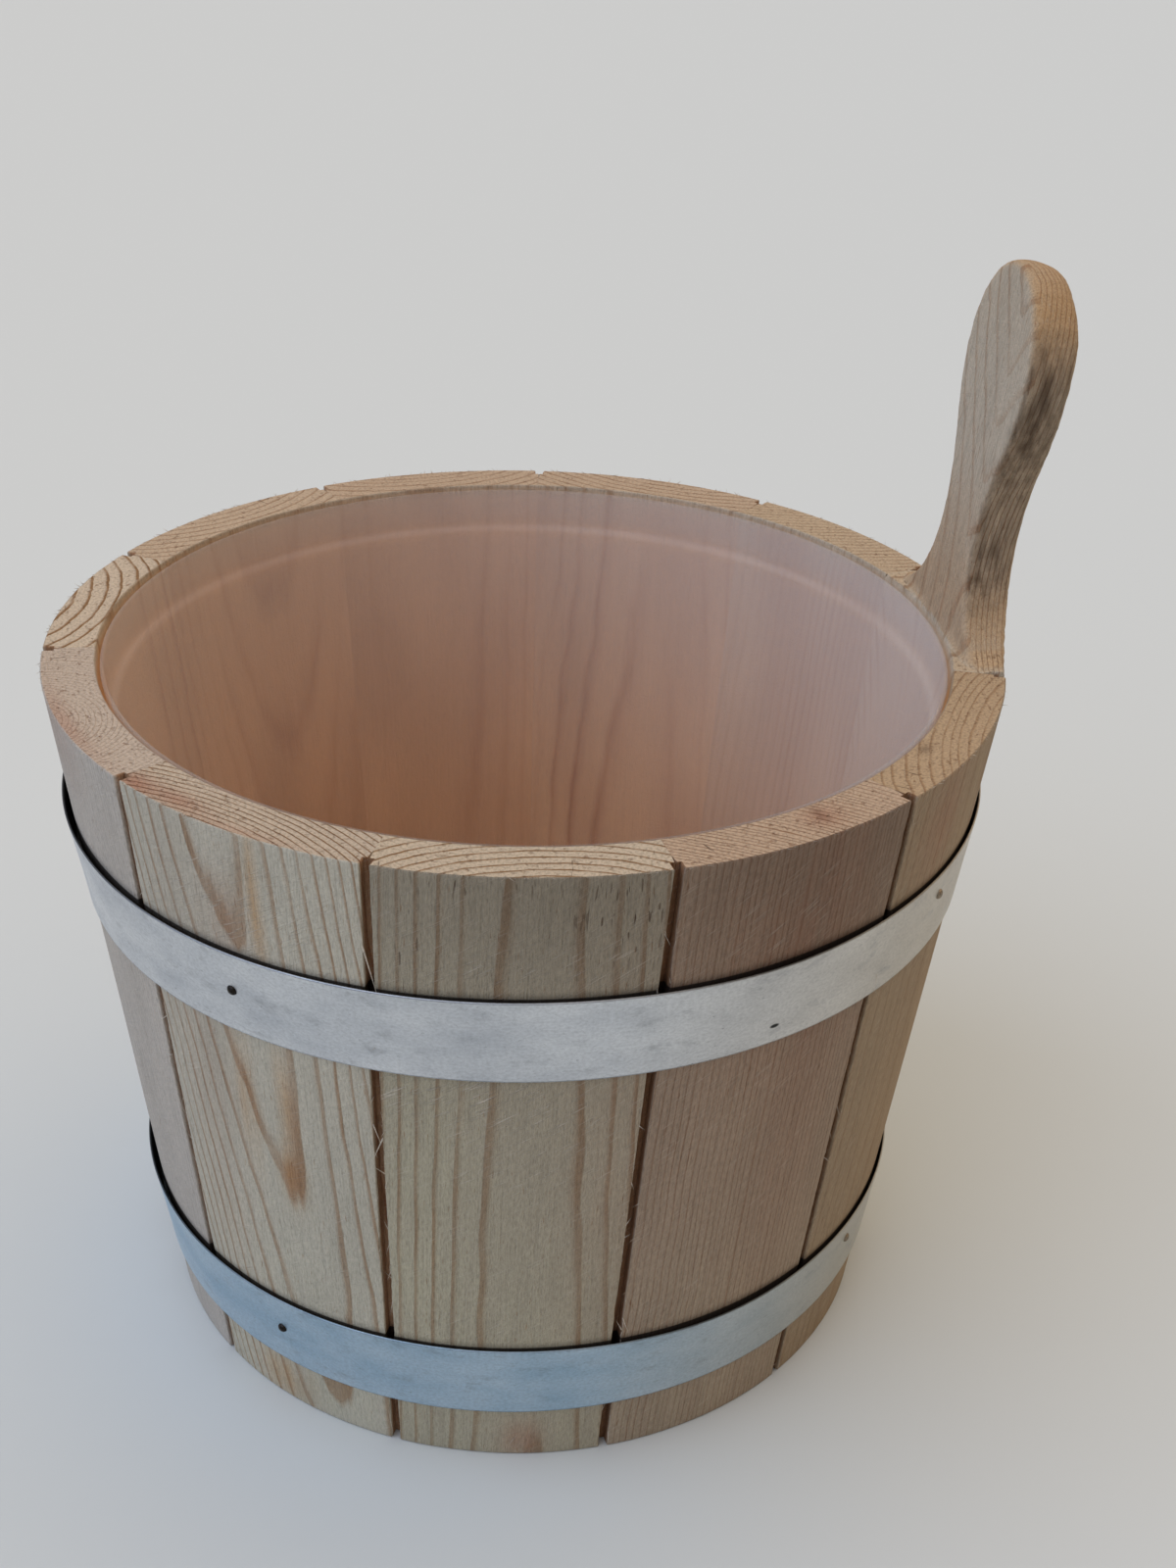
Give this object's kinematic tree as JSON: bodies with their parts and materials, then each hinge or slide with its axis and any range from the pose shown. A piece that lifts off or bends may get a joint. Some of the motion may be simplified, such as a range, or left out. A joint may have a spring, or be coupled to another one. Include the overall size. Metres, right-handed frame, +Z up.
{
  "type": "sauna bucket",
  "caption": "Tapered coopered pine bucket with flat steel hoops, one long stave cut into a paddle handle, and a loose translucent plastic liner.",
  "frame": {"origin": "on the floor, at the middle of the bucket's footprint box, which lies 5.6 mm from the tub's axis towards the handle", "axes": "+Z up along the tub's axis, +X from the axis towards the handle"},
  "size_m": [0.2707, 0.26, 0.301],
  "materials": {
    "stave_pine": "sawn and lightly sanded, bare",
    "handle_pine": "planed face and band-sawn sides, bare",
    "board_pine": "planed, bare",
    "hoop_steel": "cold rolled, satin, with faint scuffs",
    "rivet_steel": "satin",
    "nail_steel": "blued, shiny",
    "milky_plastic": "translucent, moulded, glossy"
  },
  "bodies": {
    "bucket": {"handle_stave": "handle_pine", "stave_01": "stave_pine", "stave_02": "stave_pine", "stave_03": "stave_pine", "stave_04": "stave_pine", "stave_05": "stave_pine", "stave_06": "stave_pine", "stave_07": "stave_pine", "stave_08": "stave_pine", "stave_09": "stave_pine", "stave_10": "stave_pine", "bottom_board_1": "board_pine", "bottom_board_2": "board_pine", "bottom_board_3": "board_pine", "upper_hoop": "hoop_steel", "lower_hoop": "hoop_steel", "upper_hoop_rivet_1": "rivet_steel", "upper_hoop_rivet_2": "rivet_steel", "lower_hoop_rivet_1": "rivet_steel", "lower_hoop_rivet_2": "rivet_steel", "upper_hoop_nail_1": "nail_steel", "upper_hoop_nail_2": "nail_steel", "upper_hoop_nail_3": "nail_steel", "upper_hoop_nail_4": "nail_steel", "lower_hoop_nail_1": "nail_steel", "lower_hoop_nail_2": "nail_steel", "lower_hoop_nail_3": "nail_steel", "lower_hoop_nail_4": "nail_steel"},
    "liner": {"liner": "milky_plastic"}
  },
  "joints": [
    {"name": "liner_lift", "type": "slide", "parent": "bucket", "child": "liner", "axis": [0, 0, 1], "range_m": [0, 0.18]}
  ]
}
